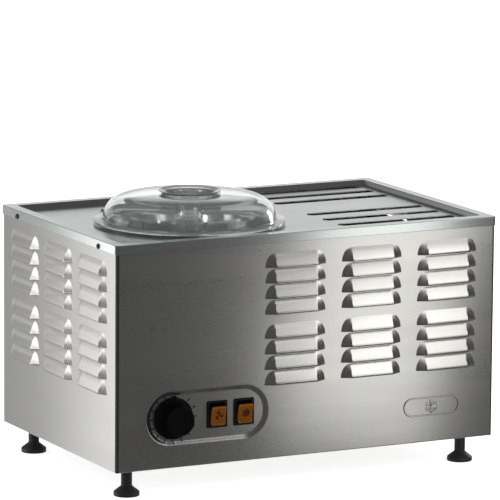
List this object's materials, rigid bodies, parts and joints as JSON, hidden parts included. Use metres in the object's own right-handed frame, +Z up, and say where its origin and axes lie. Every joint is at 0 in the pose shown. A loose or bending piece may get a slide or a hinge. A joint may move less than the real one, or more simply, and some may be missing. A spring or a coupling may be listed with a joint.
{
  "type": "ice cream maker",
  "caption": "Countertop compressor ice cream maker: louvred steel cabinet, recessed tray with fixed bowl, clear hinged dome lid with filler, timer knob and rocker switches, levelling feet.",
  "frame": {"origin": "on the floor, below the middle of the overall box", "axes": "+X to the right along the cabinet's length, +Y to the rear, +Z up; the controls face -Y"},
  "size_m": [0.53, 0.372, 0.346],
  "materials": {
    "brushed_casing": "fine horizontal brushed grain",
    "top_tray": "bright satin, more reflective than the walls",
    "plated_steel": "zinc plated, hidden structure",
    "corner_strip": "dark strip between the panels",
    "screws": "plated screw heads",
    "feet": "black moulded rubber",
    "knob": "black moulded plastic",
    "switch_frame": "black moulded plastic",
    "switch_amber": "translucent amber plastic",
    "inner_plastic": "black technical plastic",
    "hinge_core": "dark grey moulded hinge core",
    "bowl": "mirror polished stainless steel",
    "paddle": "polished stainless steel",
    "lid_clear": "clear moulded plastic",
    "lid_carrier": "fine brushed",
    "hinge_silver": "satin silver",
    "machined_steel": "ground steel",
    "seal_rubber": "black rubber",
    "insulation": "rigid foam, pale yellow",
    "copper": "copper tube",
    "black_enamel": "black stoving enamel",
    "cast_aluminium": "die cast"
  },
  "bodies": {
    "cabinet": {"front_panel": "brushed_casing", "left_side_panel": "brushed_casing", "right_side_panel": "brushed_casing", "rear_panel": "brushed_casing", "top_cover": "top_tray", "base_plate": "plated_steel", "fan_shroud": "plated_steel", "corner_post_front_left": "corner_strip", "corner_post_front_right": "corner_strip", "corner_post_rear_left": "corner_strip", "corner_post_rear_right": "corner_strip", "cover_screw_left_front": "screws", "cover_screw_left_rear": "screws", "cover_screw_right_front": "screws", "cover_screw_right_rear": "screws", "stir_switch_housing": "switch_frame", "cooling_switch_housing": "switch_frame", "timer_body": "inner_plastic", "cable_gland": "inner_plastic", "terminal_block": "inner_plastic", "hinge_base": "hinge_core", "bowl": "bowl", "hinge_pin": "machined_steel", "shaft_bearing": "machined_steel", "bowl_gasket": "seal_rubber", "shaft_seal": "seal_rubber", "compressor_mount_pad": "seal_rubber", "foam_jacket": "insulation", "evaporator_coil": "copper", "discharge_tube": "copper", "liquid_tube": "copper", "capillary_tube": "copper", "suction_tube": "copper", "filter_drier": "copper", "compressor": "black_enamel", "motor_body": "black_enamel", "fan_motor": "black_enamel", "gearbox_housing": "cast_aluminium", "gearbox_cover": "cast_aluminium", "condenser": "cast_aluminium", "run_capacitor": "cast_aluminium"},
    "lid": {"lid_dome": "lid_clear", "filler_funnel": "lid_clear", "lid_carrier_ring": "lid_carrier", "hinge_sleeve": "hinge_silver"},
    "stopper": {"filler_stopper": "lid_clear"},
    "paddle_drive": {"paddle": "paddle", "paddle_nut": "paddle", "drive_shaft": "machined_steel", "output_gear": "machined_steel"},
    "motor_rotor": {"motor_pinion": "machined_steel"},
    "fan_rotor": {"fan_blade": "inner_plastic"},
    "timer": {"timer_knob": "knob", "timer_shaft": "machined_steel"},
    "stir_switch": {"stir_rocker": "switch_amber"},
    "cooling_switch": {"cooling_rocker": "switch_amber"},
    "foot_front_left": {"foot_front_left": "feet"},
    "foot_front_right": {"foot_front_right": "feet"},
    "foot_rear_left": {"foot_rear_left": "feet"},
    "foot_rear_right": {"foot_rear_right": "feet"}
  },
  "joints": [
    {"name": "lid_hinge", "type": "hinge", "parent": "cabinet", "child": "lid", "pos_m": [-0.02785, 0.10296, 0.316], "axis": [-0.891, 0.454, 0], "range_deg": [0, 100]},
    {"name": "stopper_lift", "type": "slide", "parent": "lid", "child": "stopper", "axis": [0, 0, 1], "range_m": [0, 0.045]},
    {"name": "paddle_spin", "type": "hinge", "parent": "cabinet", "child": "paddle_drive", "pos_m": [-0.0905, -0.02, 0.16], "axis": [0, 0, 1], "continuous": true},
    {"name": "motor_spin", "type": "hinge", "parent": "cabinet", "child": "motor_rotor", "pos_m": [-0.0905, 0.04, 0.16], "axis": [0, 0, 1], "continuous": true},
    {"name": "fan_spin", "type": "hinge", "parent": "cabinet", "child": "fan_rotor", "pos_m": [0.21, 0.04, 0.16], "axis": [1, 0, 0], "continuous": true},
    {"name": "timer_turn", "type": "hinge", "parent": "cabinet", "child": "timer", "pos_m": [-0.182, -0.17, 0.0956], "axis": [0, 1, 0], "range_deg": [0, 300]},
    {"name": "stir_switch_rock", "type": "hinge", "parent": "cabinet", "child": "stir_switch", "pos_m": [-0.1231, -0.1591, 0.0956], "axis": [1, 0, 0], "range_deg": [-18, 0]},
    {"name": "cooling_switch_rock", "type": "hinge", "parent": "cabinet", "child": "cooling_switch", "pos_m": [-0.0869, -0.1591, 0.0956], "axis": [1, 0, 0], "range_deg": [-18, 0]},
    {"name": "foot_front_left_turn", "type": "hinge", "parent": "cabinet", "child": "foot_front_left", "pos_m": [-0.23, -0.135, 0.02], "axis": [0, 0, 1], "range_deg": [0, 720]},
    {"name": "foot_front_right_turn", "type": "hinge", "parent": "cabinet", "child": "foot_front_right", "pos_m": [0.23, -0.135, 0.02], "axis": [0, 0, 1], "range_deg": [0, 720]},
    {"name": "foot_rear_left_turn", "type": "hinge", "parent": "cabinet", "child": "foot_rear_left", "pos_m": [-0.23, 0.135, 0.02], "axis": [0, 0, 1], "range_deg": [0, 720]},
    {"name": "foot_rear_right_turn", "type": "hinge", "parent": "cabinet", "child": "foot_rear_right", "pos_m": [0.23, 0.135, 0.02], "axis": [0, 0, 1], "range_deg": [0, 720]}
  ],
  "couplings": [
    {"joint": "motor_spin", "follows": "paddle_spin", "ratio": -4}
  ]
}
